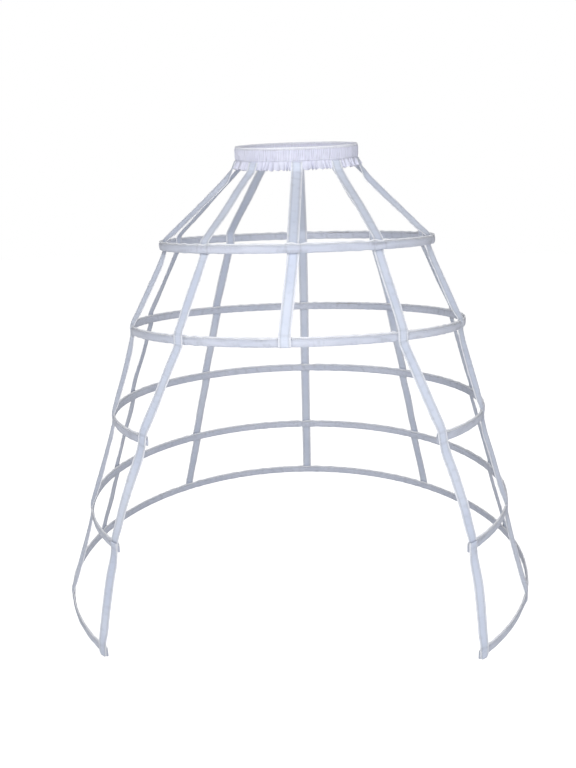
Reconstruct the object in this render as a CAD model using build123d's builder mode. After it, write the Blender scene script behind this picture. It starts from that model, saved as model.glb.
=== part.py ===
from build123d import *
import math
import os

os.makedirs("parts", exist_ok=True)

# A crinoline cage: a gathered elastic waistband, ten hanging tapes and five hoops.  Each hoop is
# a cloth casing round a flat sprung bone.  The upper two are whole rings, and the lower three
# stay open at the front.  Millimetres, +Z up, front towards -Y, origin in the middle of the
# waistband, where the wearer's waist goes.

# ---- driving dimensions -------------------------------------------------------------------

# waistband: an oval tube of cloth round an elastic, with a frill along its lower edge
WAIST_WIDTH = 224.0
WAIST_DEPTH = 184.0
WAIST_TILT = 5.0  # degrees, the front lower than the back
BAND_WALL = 1.2  # cloth on each side of the elastic
BAND_MARGIN = 1.7  # cloth above and below the elastic, up to the folds
ELASTIC_HEIGHT = 20.0
ELASTIC_THICKNESS = 2.0
SLIT_LENGTH = 24.0  # left open in the band's inner wall, at the back, to feed the elastic in
SLIT_HEIGHT = 12.0
FRILL_HEIGHT = 15.0
FRILL_FLARE = 6.5
FRILL_THICKNESS = 2.0

SIDE_LEAN = 1.0  # degrees, the waistband and every hoop hang this much lower on the -X side

# hoops, from the waist down: radius of the bone's middle, height of the hoop's middle, and the
# fore-and-aft tilt in degrees, positive where the front hangs lower
HOOP_RADIUS = [250.5, 310.0, 350.5, 400.0, 445.0]
HOOP_Z = [-160.0, -309.5, -470.0, -641.0, -794.5]
HOOP_TILT = [-1.3, -3.0, -1.0, 2.0, 4.7]
WHOLE_RINGS = 2  # the hoops below these are open at the front

# hoop bones and what goes round them
BONE_HEIGHT = 12.0
BONE_THICKNESS = 1.2
BONE_GAP = 1.0  # between the butted ends of a whole ring
JOINER_LENGTH = 50.0
JOINER_WALL = 0.6
TIP_LENGTH = 14.0
TIP_END = 1.5
CASING_WALL = 0.8
CASING_BEVEL = 0.9  # along the casing's four long edges
CASING_OVERHANG = 3.0  # how far an open hoop's casing runs past its front tape
CASING_HEM = 2.5  # how far the tip sits inside the casing's end
FEED_LENGTH = 60.0  # left open in a ring casing's inner wall to feed the bone in
FEED_HEIGHT = 8.0
FEED_ANGLE = 162.0  # degrees from the front, between two back tapes, and the joiner's place too

# tapes
TAPE_WIDTH = 20.0
TAPE_THICKNESS = 1.0
TAPE_RUNOUT = 2.0  # straight tape above and below each casing
TAPE_TAIL = 1.5  # cut end past the lowest casing
TAPE_TOP = 1.0  # the tape's folded top, below the waistband's seam
INSIDE_HOOP = 0  # the tapes pass inside this hoop's casing, and outside all the others

# places of the tapes, in degrees from the front, at the waist and at each hoop that they reach
SIDE_TAPES = {
    "front": [40.0, 35.0, 35.2, 44.8, 48.7, 45.8],
    "side": [80.0, 74.0, 69.5, 73.1, 74.1, 71.8],
    "side_back": [115.0, 108.0, 106.4, 103.5, 104.3, 105.4],
    "back": [146.0, 143.0, 142.8, 141.2, 140.9, 140.9],
}
CENTRE_TAPES = {
    "centre_front": [2.5, 1.4, -0.9],
    "centre_back": [180.0, 180.0, 180.0, 180.0, 180.0, 180.0],
}

# clearances
SLIDE_CLEARANCE = 0.3  # of a bone, joiner, tip or elastic in what holds it
SEWN_CLEARANCE = 0.15  # of a tape from the casing or frill that it is sewn to

# ---- worked out from the driving dimensions ----------------------------------------------

# every layer of a hoop is a flat bar or tube, and each stands out alike all round from the last
bar_run = BONE_HEIGHT - BONE_THICKNESS
socket_thickness = BONE_THICKNESS + 2 * SLIDE_CLEARANCE
sleeve_thickness = socket_thickness + 2 * JOINER_WALL
channel_thickness = sleeve_thickness + 2 * SLIDE_CLEARANCE
casing_thickness = channel_thickness + 2 * CASING_WALL
casing_height = bar_run + casing_thickness

band_channel = ELASTIC_THICKNESS + 2 * SLIDE_CLEARANCE
band_thickness = band_channel + 2 * BAND_WALL
channel_height = ELASTIC_HEIGHT + 2 * SLIDE_CLEARANCE
band_height = channel_height + 2 * BAND_MARGIN
frill_inset = (band_thickness - FRILL_THICKNESS) / 2
elastic_inset = BAND_WALL + SLIDE_CLEARANCE


def arc_degrees(length, radius):
    """Angle that an arc of this length takes."""
    return math.degrees(length / radius)


def compass(turn):
    """Flat directions outwards and across, at turn degrees from the front towards +X."""
    sine, cosine = math.sin(math.radians(turn)), math.cos(math.radians(turn))
    return (sine, -cosine), (cosine, sine)


# ---- hoops ---------------------------------------------------------------------------------


def hoop_level(index):
    """The plane that a hoop lies in."""
    return Plane(Location((0, 0, HOOP_Z[index]), (HOOP_TILT[index], -SIDE_LEAN, 0)))


def hoop_section(index, turn):
    """The plane that cuts across a hoop at turn degrees from the front, with x outwards."""
    level = hoop_level(index)
    outward, across = compass(turn)
    return Plane(
        origin=level.origin,
        x_dir=level.from_local_coords(Vector(*outward, 0)) - level.origin,
        z_dir=level.origin - level.from_local_coords(Vector(*across, 0)),
    )


def bar_round_hoop(index, start, sweep, thickness, bore=0.0, bevel=0.0):
    """Bend a bar round a hoop, from start degrees and through sweep degrees.

    A bore makes it a flat tube, with a slot of that thickness along it.
    """
    level = hoop_level(index)
    with BuildSketch(hoop_section(index, start)) as profile:
        with Locations((HOOP_RADIUS[index], 0)):
            Rectangle(thickness, thickness + bar_run)
            if bevel:
                chamfer(profile.vertices(), bevel)
            if bore:
                Rectangle(bore, bore + bar_run, mode=Mode.SUBTRACT)
    revolve(profile.sketch, axis=Axis(level.origin, level.z_dir), revolution_arc=sweep)


def feed_slit(index):
    """Cut the slit in a ring casing's inner wall that the bone is fed through."""
    level = hoop_level(index)
    inner_wall = HOOP_RADIUS[index] - casing_thickness / 2
    feed_sweep = arc_degrees(FEED_LENGTH, HOOP_RADIUS[index])
    section = hoop_section(index, FEED_ANGLE - feed_sweep / 2)
    with BuildSketch(section) as profile:
        with Locations((inner_wall, 0)):
            Rectangle(casing_thickness, FEED_HEIGHT)
    axis = Axis(level.origin, level.z_dir)
    revolve(profile.sketch, axis=axis, revolution_arc=feed_sweep, mode=Mode.SUBTRACT)


def finish(part, name):
    """Label a finished piece and write its file."""
    part.label = name
    export_step(part, f"parts/{name}.step")


for index, radius in enumerate(HOOP_RADIUS[:WHOLE_RINGS]):
    name = f"hoop_{index + 1}"
    joiner_sweep = arc_degrees(JOINER_LENGTH, radius)
    gap_sweep = arc_degrees(BONE_GAP, radius)

    with BuildPart() as casing:
        bar_round_hoop(index, 0, 360, casing_thickness, channel_thickness, CASING_BEVEL)
        feed_slit(index)
    finish(casing.part, f"{name}_casing")

    with BuildPart() as bone:
        bar_round_hoop(index, FEED_ANGLE + gap_sweep / 2, 360 - gap_sweep, BONE_THICKNESS)
    finish(bone.part, f"{name}_bone")

    with BuildPart() as joiner:
        joiner_start = FEED_ANGLE - joiner_sweep / 2
        bar_round_hoop(index, joiner_start, joiner_sweep, sleeve_thickness, socket_thickness)
    finish(joiner.part, f"{name}_joiner")

for index, radius in list(enumerate(HOOP_RADIUS))[WHOLE_RINGS:]:
    name = f"hoop_{index + 1}"
    casing_start = SIDE_TAPES["front"][index + 1] - arc_degrees(
        TAPE_WIDTH / 2 + CASING_OVERHANG, radius
    )
    tip_start = casing_start + arc_degrees(CASING_HEM, radius)
    tip_sweep = arc_degrees(TIP_LENGTH, radius)
    socket_start = tip_start + arc_degrees(TIP_END, radius)
    socket_sweep = tip_sweep - arc_degrees(TIP_END, radius)
    bone_start = socket_start + arc_degrees(SLIDE_CLEARANCE, radius)

    with BuildPart() as casing:
        casing_sweep = 360 - 2 * casing_start
        bar_round_hoop(
            index, casing_start, casing_sweep, casing_thickness, channel_thickness, CASING_BEVEL
        )
    finish(casing.part, f"{name}_casing")

    with BuildPart() as bone:
        bar_round_hoop(index, bone_start, 360 - 2 * bone_start, BONE_THICKNESS)
    finish(bone.part, f"{name}_bone")

    with BuildPart() as left_tip:
        bar_round_hoop(index, tip_start, tip_sweep - socket_sweep, sleeve_thickness)
        bar_round_hoop(index, socket_start, socket_sweep, sleeve_thickness, socket_thickness)
    finish(left_tip.part, f"{name}_tip_left")

    with BuildPart() as right_tip:
        bar_round_hoop(index, -socket_start, tip_sweep - socket_sweep, sleeve_thickness)
        bar_round_hoop(
            index, -socket_start - socket_sweep, socket_sweep, sleeve_thickness, socket_thickness
        )
    finish(right_tip.part, f"{name}_tip_right")

# ---- waistband -----------------------------------------------------------------------------


def waist_level(height):
    """The plane of the leaning waistband, at this height above its middle."""
    return Plane(Location((0, 0, 0), (WAIST_TILT, -SIDE_LEAN, 0))).offset(height)


def waist_ring(inset, thickness, height, mode=Mode.ADD):
    """An upright oval ring, this far inside the waistband's outer face and centred on it."""
    with BuildSketch(waist_level(-height / 2)) as ring:
        Ellipse(WAIST_WIDTH / 2 - inset, WAIST_DEPTH / 2 - inset)
        Ellipse(
            WAIST_WIDTH / 2 - inset - thickness,
            WAIST_DEPTH / 2 - inset - thickness,
            mode=Mode.SUBTRACT,
        )
    extrude(ring.sketch, amount=height, mode=mode)


def frill_cone(inset, mode=Mode.ADD):
    """The flared oval block under the band's seam, this far inside the band's outer face."""
    ovals = []
    for drop, flare in ((0, 0), (FRILL_HEIGHT, FRILL_FLARE)):
        with BuildSketch(waist_level(-band_height / 2 - drop)) as oval:
            Ellipse(WAIST_WIDTH / 2 - inset + flare, WAIST_DEPTH / 2 - inset + flare)
        ovals.append(oval.sketch)
    loft(ovals, ruled=True, mode=mode)


with BuildPart() as waistband:
    frill_cone(frill_inset)
    frill_cone(frill_inset + FRILL_THICKNESS, mode=Mode.SUBTRACT)
    waist_ring(0, band_thickness, band_height)
    waist_ring(BAND_WALL, band_channel, channel_height, mode=Mode.SUBTRACT)
    # the slit that the elastic is fed through
    with BuildSketch(waist_level(-SLIT_HEIGHT / 2)):
        with Locations((0, WAIST_DEPTH / 2 - band_thickness)):
            Rectangle(SLIT_LENGTH, band_thickness)
    extrude(amount=SLIT_HEIGHT, mode=Mode.SUBTRACT)
finish(waistband.part, "waistband")

with BuildPart() as waist_elastic:
    waist_ring(elastic_inset, ELASTIC_THICKNESS, ELASTIC_HEIGHT)
finish(waist_elastic.part, "waist_elastic")

# ---- tapes -----------------------------------------------------------------------------------


def tape_on_frill(turn, drop):
    """Plane across a tape where it lies on the frill, this far below the seam."""
    level = waist_level(-band_height / 2 - drop)
    grow = FRILL_FLARE * drop / FRILL_HEIGHT - frill_inset
    half_width, half_depth = WAIST_WIDTH / 2 + grow, WAIST_DEPTH / 2 + grow
    (sine, less_cosine), _ = compass(turn)
    outward = Vector(half_depth * sine, half_width * less_cosine).normalized()
    lift = SEWN_CLEARANCE + TAPE_THICKNESS / 2
    middle = Vector(half_width * sine, half_depth * less_cosine) + outward * lift
    across = Vector(-outward.Y, outward.X)
    origin = level.from_local_coords(middle)
    along = level.from_local_coords(middle + across) - origin
    return Plane(origin=origin, x_dir=along, z_dir=level.z_dir)


def tape_on_hoop(index, turn, height):
    """Plane across a tape beside a casing, this far above the hoop's middle."""
    level = hoop_level(index)
    outward, across = compass(turn)
    if index == INSIDE_HOOP:
        # a flat tape inside a curved wall touches it with its two edges
        wall = HOOP_RADIUS[index] - casing_thickness / 2 - SEWN_CLEARANCE
        reach = math.sqrt(wall**2 - (TAPE_WIDTH / 2) ** 2) - TAPE_THICKNESS / 2
    else:
        reach = HOOP_RADIUS[index] + casing_thickness / 2 + SEWN_CLEARANCE + TAPE_THICKNESS / 2
    middle = Vector(outward[0] * reach, outward[1] * reach, height)
    origin = level.from_local_coords(middle)
    along = level.from_local_coords(middle + Vector(*across, 0)) - origin
    return Plane(origin=origin, x_dir=along, z_dir=level.z_dir)


def tape_planes(angles):
    """Planes across a tape from its folded top to its cut end."""
    planes = [tape_on_frill(angles[0], drop) for drop in (TAPE_TOP, FRILL_HEIGHT + TAPE_TOP)]
    lead = casing_height / 2 + TAPE_RUNOUT
    last = len(angles) - 2
    for index, turn in enumerate(angles[1:]):
        foot = casing_height / 2 + TAPE_TAIL if index == last else lead
        planes += [tape_on_hoop(index, turn, height) for height in (lead, -foot)]
    return planes


tapes = dict(CENTRE_TAPES)
for place, angles in SIDE_TAPES.items():
    tapes[f"{place}_left"] = angles
    tapes[f"{place}_right"] = [-turn for turn in angles]

for place, angles in tapes.items():
    with BuildPart() as tape:
        for plane in tape_planes(angles):
            with BuildSketch(plane):
                Rectangle(TAPE_WIDTH, TAPE_THICKNESS)
        loft(ruled=True)
    finish(tape.part, f"tape_{place}")
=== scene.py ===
import math

import bpy
import numpy as np
from mathutils import Matrix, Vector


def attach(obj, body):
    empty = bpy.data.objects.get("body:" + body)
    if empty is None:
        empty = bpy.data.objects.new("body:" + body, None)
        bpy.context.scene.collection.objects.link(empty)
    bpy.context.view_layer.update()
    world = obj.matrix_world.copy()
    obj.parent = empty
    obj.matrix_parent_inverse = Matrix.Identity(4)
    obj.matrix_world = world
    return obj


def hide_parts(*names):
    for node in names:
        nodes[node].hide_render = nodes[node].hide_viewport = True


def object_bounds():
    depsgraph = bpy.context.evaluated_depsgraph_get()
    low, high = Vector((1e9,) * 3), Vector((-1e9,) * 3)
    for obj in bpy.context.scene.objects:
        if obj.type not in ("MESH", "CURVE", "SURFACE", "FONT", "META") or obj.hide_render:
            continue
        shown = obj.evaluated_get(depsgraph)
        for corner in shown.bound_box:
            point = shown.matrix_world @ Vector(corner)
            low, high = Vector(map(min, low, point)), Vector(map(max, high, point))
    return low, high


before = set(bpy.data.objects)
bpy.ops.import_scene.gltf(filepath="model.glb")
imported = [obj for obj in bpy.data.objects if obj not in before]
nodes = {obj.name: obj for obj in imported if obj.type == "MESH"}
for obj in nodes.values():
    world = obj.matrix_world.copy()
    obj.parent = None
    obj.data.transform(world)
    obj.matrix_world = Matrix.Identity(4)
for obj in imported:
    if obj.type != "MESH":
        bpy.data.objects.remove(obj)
cad_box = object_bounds()

# A crinoline cage: a shirred waistband with a frill, ten hanging tapes, and five hoops cased in
# folded cloth.  Metres in Blender; MM turns the maker's millimetres into them.
MM = 0.001
CREASE_SEED = 41
RNG = np.random.default_rng(CREASE_SEED)


# ---- arithmetic on whole arrays ----


def unit(vectors):
    """Vectors divided by their own lengths."""
    return vectors / np.linalg.norm(vectors, axis=-1, keepdims=True)


def smooth(value, low, high):
    """0 below low, 1 above high, and 3t^2 - 2t^3 between."""
    t = np.clip((value - low) / (high - low), 0, 1)
    return t * t * (3 - 2 * t)


def bell(distance, width):
    """Gaussian hump: exp(-(distance / width)^2)."""
    return np.exp(-((distance / width) ** 2))


WAVE_SPREAD = (0.6, 1.7)  # shortest and longest crease, as shares of the wave asked for
WHOLE_WAVE = 6.28  # radians


def creases(along, across, wave, slant, lap=None, count=10):
    """Creased height: a sum of sine waves about one wave long, each leaning by a random slant.

    Where the cloth closes on itself after a lap, every wave fits it a whole number of times.
    """
    total = 0.0
    for _ in range(count):
        rate = 2 * math.pi / (wave * RNG.uniform(*WAVE_SPREAD))
        lean = RNG.normal(0, slant)
        forward, sideways = rate * math.cos(lean), rate * math.sin(lean)
        if lap:
            forward = 2 * math.pi * round(forward * lap / (2 * math.pi)) / lap
        total = total + np.sin(forward * along + sideways * across + RNG.uniform(0, WHOLE_WAVE))
    return total / math.sqrt(count)


def waves(along, wave, lap=None, count=10):
    """Creases of one height right across the cloth, as a column."""
    return creases(along, 0 * along, wave, 0.0, lap, count)[:, None]


def blur(values, spread):
    """Rows smoothed with a Gaussian of this many rows, cut off at four times as many.

    The first and last rows stay where they are: each end is carried on as its own mirror image.
    """
    reach = int(4 * spread) + 1
    kernel = bell(np.arange(-reach, reach + 1), spread * math.sqrt(2))
    kernel /= kernel.sum()
    first, last = values[:1], values[-1:]
    padded = np.concatenate(
        [2 * first - values[reach:0:-1], values, 2 * last - values[-2 : -reach - 2 : -1]]
    )
    columns = [np.convolve(column, kernel, "valid") for column in padded.T]
    return np.stack(columns, axis=1)


# ---- meshes ----


def mesh_piece(name, points, faces, uv=None, material=None, body="root", painted_shade=None):
    """Object from an array of points and an array of quads; it rides on its body, if it has one.

    uv is one pair per corner.  painted_shade is one value per point, the shade painted into the
    cloth's colour: 1 where the cloth lies in a fold and 0 on its ridges.
    """
    mesh = bpy.data.meshes.new(name)
    corners = faces.shape[1]
    mesh.vertices.add(len(points))
    mesh.vertices.foreach_set("co", points.astype(np.float32).ravel())
    mesh.loops.add(faces.size)
    mesh.loops.foreach_set("vertex_index", faces.astype(np.int32).ravel())
    mesh.polygons.add(len(faces))
    mesh.polygons.foreach_set("loop_start", np.arange(0, faces.size, corners, dtype=np.int32))
    mesh.update(calc_edges=True)
    if uv is not None:
        layer = mesh.uv_layers.new(name="cloth")
        layer.data.foreach_set("uv", uv.astype(np.float32).ravel())
    if painted_shade is not None:
        layer = mesh.attributes.new("painted_shade", "FLOAT", "POINT")
        layer.data.foreach_set("value", painted_shade.astype(np.float32).ravel())
    mesh.polygons.foreach_set("use_smooth", np.ones(len(faces), dtype=bool))
    mesh.validate()
    piece = bpy.data.objects.new(name, mesh)
    bpy.context.scene.collection.objects.link(piece)
    if material:
        mesh.materials.append(material)
    if body:
        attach(piece, body)
    return piece


def run_lengths(middle, closed=False):
    """Distance along a line of points, with the whole lap added at the end if it is closed."""
    line = np.concatenate([middle, middle[:1]]) if closed else middle
    steps = np.linalg.norm(np.diff(line, axis=0), axis=1)
    return np.concatenate([[0.0], np.cumsum(steps)])


def cloth_strip(name, path, heights, front, back, material, closed=False, ease=1.0, painted_shades=None):
    """Strip of cloth with two faces, carried along a path; a closed one joins its own start.

    path is (middles, outward directions, upward directions).  A point lies at
    middle + outward * offset + upward * height: front and back hold the two faces' offsets, and
    heights their places from the top edge to the bottom one.  The map holds metres of cloth:
    along times ease, and height.  painted_shades are the two faces' amounts of shade painted into
    their colour in the folds, 0 to 1.
    """
    middle, outward, upward = path
    rows, columns = front.shape
    heights = np.broadcast_to(heights, front.shape)
    section_up = np.concatenate([heights, heights[:, ::-1]], axis=1)
    section_out = np.concatenate([front, back[:, ::-1]], axis=1)
    points = (
        middle[:, None]
        + outward[:, None] * section_out[..., None]
        + upward[:, None] * section_up[..., None]
    )
    ring = 2 * columns
    runs = run_lengths(middle, closed) * ease
    last = rows if closed else rows - 1
    i, j = np.meshgrid(np.arange(last), np.arange(ring), indexing="ij")
    beside = (j + 1) % ring
    corners = [(i, j), (i, beside), (i + 1, beside), (i + 1, j)]
    faces = np.stack([row % rows * ring + spot for row, spot in corners], -1).reshape(-1, 4)
    flat_up = section_up[0]
    uv = np.stack([np.stack([runs[row], flat_up[spot]], -1) for row, spot in corners], -2)
    uv = uv.reshape(-1, 2)
    if not closed:
        j = np.arange(columns - 1)
        for row, turned in ((0, True), (rows - 1, False)):
            ladder = np.stack([j, j + 1, ring - 2 - j, ring - 1 - j], axis=-1)
            if turned:
                ladder = ladder[:, ::-1]
            faces = np.concatenate([faces, row * ring + ladder])
            ends = np.stack([np.full(ladder.shape, runs[row]), flat_up[ladder]], -1)
            uv = np.concatenate([uv, ends.reshape(-1, 2)])
    # the shade painted into each face's colour; none unless it is given
    painted_shading = np.zeros(section_out.shape)
    if painted_shades is not None:
        shaped = [np.broadcast_to(painted_shade, front.shape) for painted_shade in painted_shades]
        painted_shading = np.concatenate([shaped[0], shaped[1][:, ::-1]], axis=1).clip(0, 1)
    return mesh_piece(name, points.reshape(-1, 3), faces, uv, material, painted_shade=painted_shading)


def ring_quads(rows, sides):
    """Quads between neighbouring rings of a stack, each ring with this many sides."""
    i, j = np.meshgrid(np.arange(rows - 1), np.arange(sides), indexing="ij")
    beside = (j + 1) % sides
    corners = [(i, j), (i + 1, j), (i + 1, beside), (i, beside)]
    return np.stack([row * sides + spot for row, spot in corners], axis=-1).reshape(-1, 4)


BEAD_STATIONS = np.array([-1.0, -0.62, 0.0, 0.62, 1.0])  # from end to end of a stitch
BEAD_END = 0.12  # a stitch's thickness at its ends, as a share
BEAD_SIDES = 6


def thread_piece(name, centres, along, outward, length, thickness, material):
    """Stitches: short rounded beads lying along a surface, their two ends sunk into it.

    Each is a tube of rings: its radius goes as the root of 1 - t^2, and it is bowed outwards by
    half its thickness.
    """
    t = BEAD_STATIONS
    bead = np.sqrt(1 - t**2).clip(BEAD_END)
    spin = np.arange(BEAD_SIDES) * 2 * math.pi / BEAD_SIDES
    across = np.cross(outward, along)
    lengthwise = (t * length / 2)[None, :, None, None] * along[:, None, None]
    round_it = (
        np.cos(spin)[None, None, :, None] * across[:, None, None]
        + np.sin(spin)[None, None, :, None] * outward[:, None, None]
    ) * (bead * thickness / 2)[None, :, None, None]
    sunk = 0.2 * thickness
    bow = ((1 - t**2) * thickness / 2 - sunk)[None, :, None, None]
    points = centres[:, None, None] + lengthwise + round_it + bow * outward[:, None, None]
    first_end = np.array([[0, 1, 2, 3], [0, 3, 4, 5]])
    last_end = (len(t) - 1) * BEAD_SIDES + np.array([[3, 2, 1, 0], [0, 5, 4, 3]])
    quads = np.concatenate([ring_quads(len(t), BEAD_SIDES), first_end, last_end])
    starts = np.arange(len(centres)) * len(t) * BEAD_SIDES
    faces = (quads[None] + starts[:, None, None]).reshape(-1, 4)
    return mesh_piece(name, points.reshape(-1, 3), faces, None, material)


# ---- what the frame says ----


def node_points(name):
    """Every vertex of a CAD node."""
    mesh = nodes[name].data
    flat = np.zeros(len(mesh.vertices) * 3)
    mesh.vertices.foreach_get("co", flat)
    return flat.reshape(-1, 3)


def level_of(points):
    """Middle and axes (side, fore, up) of a flat ring or arc, from the plane that fits it."""
    mean = points.mean(0)
    up = np.linalg.svd(points - mean, full_matrices=False)[2][2]
    up = up * np.sign(up[2])
    side = unit(np.array([1.0, 0, 0]) - up * up[0])
    return mean, side, np.cross(up, side), up


OPEN_FRONT = 0.05  # radians; an open hoop's casing starts further than this from the front


class Hoop:
    """One hoop, with its level and radius read from its bone by a least-squares circle."""

    def __init__(self, number):
        self.name = f"hoop_{number}"
        bone = node_points(self.name + "_bone")
        mean, self.side, self.fore, self.up = level_of(bone)
        u, v = (bone - mean) @ self.side, (bone - mean) @ self.fore
        fit = np.linalg.lstsq(np.c_[2 * u, 2 * v, np.ones_like(u)], u * u + v * v, rcond=None)[0]
        self.middle = mean + fit[0] * self.side + fit[1] * self.fore
        self.radius = math.sqrt(fit[2] + fit[0] ** 2 + fit[1] ** 2)
        casing = self.local(node_points(self.name + "_casing"))
        self.half_thickness = casing[:, 1].max() - self.radius
        self.whole = np.abs(casing[:, 0]).min() < OPEN_FRONT

    def local(self, points):
        """Turn from the front towards +X in radians, distance from the axis, and height."""
        offset = points - self.middle
        x, y = offset @ self.side, offset @ self.fore
        return np.stack([np.arctan2(x, -y), np.hypot(x, y), offset @ self.up], axis=1)

    def path(self, turns):
        """Middles on the bone, outward and upward directions at an array of turns."""
        outward = np.sin(turns)[:, None] * self.side - np.cos(turns)[:, None] * self.fore
        middle = self.middle + outward * self.radius
        return middle, outward, np.broadcast_to(self.up, outward.shape)

    def across(self, turn):
        """Direction along the hoop at one turn."""
        return math.cos(turn) * self.side + math.sin(turn) * self.fore


hoops = [Hoop(number) for number in range(1, 6)]
waist_middle, waist_side, waist_fore, waist_up = level_of(node_points("waist_elastic"))
for axis in (waist_side, waist_fore):
    reach = (node_points("waist_elastic") - waist_middle) @ axis
    waist_middle = waist_middle + axis * (reach.max() + reach.min()) / 2


def waist_local(points):
    """Sideways, fore-and-aft and height in the leaning level of the waistband."""
    offset = points - waist_middle
    return np.stack([offset @ waist_side, offset @ waist_fore, offset @ waist_up], axis=1)


band = waist_local(node_points("waistband"))
FRILL_FOOT = band[:, 2].min()
upper = band[band[:, 2] > 0]
HALF_WIDTH, HALF_DEPTH = upper[:, 0].max(), upper[:, 1].max()
TAPE_PLACES = [name[5:] for name in sorted(nodes) if name.startswith("tape_")]
HEIGHT_REACH = 11 * MM  # a tape's corners beside a hoop lie within this height of its middle
BESIDE_HOOP = 5 * MM  # and further from it than this
SAME_LEVEL = 0.3 * MM  # for picking the four corners of a tape's section
PAST_FRILL = 1 * MM  # where a tape's run on the frill ends, below the frill's foot


def station(points, across):
    """Middle of a tape's four corners at one level, and the direction across the tape."""
    middle = points.mean(0)
    ahead = (points - middle) @ across > 0
    return middle, unit(points[ahead].mean(0) - points[~ahead].mean(0))


def tape_stations(place):
    """Where a CAD tape lies, and its turn round each hoop that it crosses.

    Its stations are at its top, at the frill's foot, and just above and below each hoop.
    """
    points = node_points("tape_" + place)
    found, crossings = [], []
    local = waist_local(points)
    for level in (local[:, 2].max(), FRILL_FOOT - PAST_FRILL):
        here = points[np.abs(local[:, 2] - level) < SAME_LEVEL]
        x, y = waist_local(here)[:, :2].mean(0)
        tangent = unit(np.array([-y / HALF_DEPTH**2, x / HALF_WIDTH**2]))
        across = waist_side * tangent[0] + waist_fore * tangent[1]
        found.append(station(here, across))
    for hoop in hoops:
        local = hoop.local(points)
        near = np.abs(local[:, 2]) < HEIGHT_REACH
        if not near.any():
            break
        turn = math.atan2(np.sin(local[near, 0]).mean(), np.cos(local[near, 0]).mean())
        for over in (local[:, 2] > BESIDE_HOOP, local[:, 2] < -BESIDE_HOOP):
            found.append(station(points[near & over], hoop.across(turn)))
        crossings.append(turn)
    return found, crossings


stations = {place: tape_stations(place) for place in TAPE_PLACES}


# ---- materials ----


class Nodes:
    """Short hand for putting shader nodes together."""

    def __init__(self, tree):
        self.tree = tree

    def add(self, kind, inputs=None, **settings):
        node = self.tree.nodes.new(kind)
        for key, value in settings.items():
            setattr(node, key, value)
        for key, value in (inputs or {}).items():
            self.feed(node.inputs[key], value)
        return node

    def feed(self, socket, value):
        if isinstance(value, bpy.types.NodeSocket):
            self.tree.links.new(value, socket)
        else:
            socket.default_value = value

    def math(self, operation, first, second=0.0, third=0.0):
        node = self.add("ShaderNodeMath", operation=operation)
        for socket, value in zip(node.inputs, (first, second, third)):
            self.feed(socket, value)
        return node.outputs[0]

    def mix(self, factor, first, second):
        """Blend of two colours, whose sockets are the Mix node's seventh and eighth."""
        node = self.add("ShaderNodeMix", data_type="RGBA")
        for place, value in ((0, factor), (6, first), (7, second)):
            self.feed(node.inputs[place], value)
        return node.outputs[2]

    def step(self, value, low, high, start=0.0, end=1.0):
        """Eased change from start at low to end at high."""
        node = self.add(
            "ShaderNodeMapRange",
            {"Value": value, "From Min": low, "From Max": high, "To Min": start, "To Max": end},
            interpolation_type="SMOOTHSTEP",
        )
        return node.outputs[0]


def new_group(name, inputs, outputs):
    """Empty shader group with named inputs and outputs."""
    group = bpy.data.node_groups.new(name, "ShaderNodeTree")
    for label, kind, value in inputs:
        socket = group.interface.new_socket(label, in_out="INPUT", socket_type=kind)
        if value is not None:
            socket.default_value = value
    for label, kind in outputs:
        group.interface.new_socket(label, in_out="OUTPUT", socket_type=kind)
    made = Nodes(group)
    return group, made, made.add("NodeGroupInput").outputs, made.add("NodeGroupOutput").inputs


FLOAT, VECTOR = "NodeSocketFloat", "NodeSocketVector"


def weave_group():
    """Plain weave: warp and weft ridges in turn, from the distance along and across the cloth."""
    group, n, given, result = new_group(
        "plain_weave",
        [("Along", FLOAT, 0.0), ("Across", FLOAT, 0.0), ("Thread", FLOAT, 0.4 * MM)],
        [("Height", FLOAT), ("Gap", FLOAT)],
    )
    rate = n.math("DIVIDE", math.pi, given["Thread"])
    warp = n.math("SINE", n.math("MULTIPLY", given["Along"], rate))
    weft = n.math("SINE", n.math("MULTIPLY", given["Across"], rate))
    over = n.math("MULTIPLY", warp, weft)
    ridge = n.math("MAXIMUM", n.math("ABSOLUTE", warp), n.math("ABSOLUTE", weft))
    height = n.math("MULTIPLY_ADD", over, 0.35, n.math("MULTIPLY", ridge, 0.65))
    n.feed(result["Height"], height)
    n.feed(result["Gap"], n.step(ridge, 0.15, 0.75, 1.0, 0.0))
    return group


def stitch_group():
    """A row of machine stitches at one height, each a bead with a needle hole at its ends."""
    group, n, given, result = new_group(
        "stitch_row",
        [
            ("Along", FLOAT, 0.0),
            ("Across", FLOAT, 0.0),
            ("Row", FLOAT, 0.0),
            ("Pitch", FLOAT, 3.0 * MM),
            ("Width", FLOAT, 0.7 * MM),
        ],
        [("Thread", FLOAT), ("Hole", FLOAT), ("Furrow", FLOAT)],
    )
    off = n.math("ABSOLUTE", n.math("SUBTRACT", given["Across"], given["Row"]))
    sideways = n.math("DIVIDE", off, given["Width"])
    place = n.math("FRACT", n.math("DIVIDE", given["Along"], given["Pitch"]))
    middle = n.math("ABSOLUTE", n.math("SUBTRACT", place, 0.5))
    in_row = n.step(sideways, 0.35, 0.6, 1.0, 0.0)
    n.feed(result["Thread"], n.math("MULTIPLY", in_row, n.step(middle, 0.33, 0.42, 1.0, 0.0)))
    n.feed(result["Hole"], n.math("MULTIPLY", in_row, n.step(middle, 0.4, 0.46)))
    n.feed(result["Furrow"], n.step(sideways, 0.4, 2.2, 1.0, 0.0))
    return group


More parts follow.
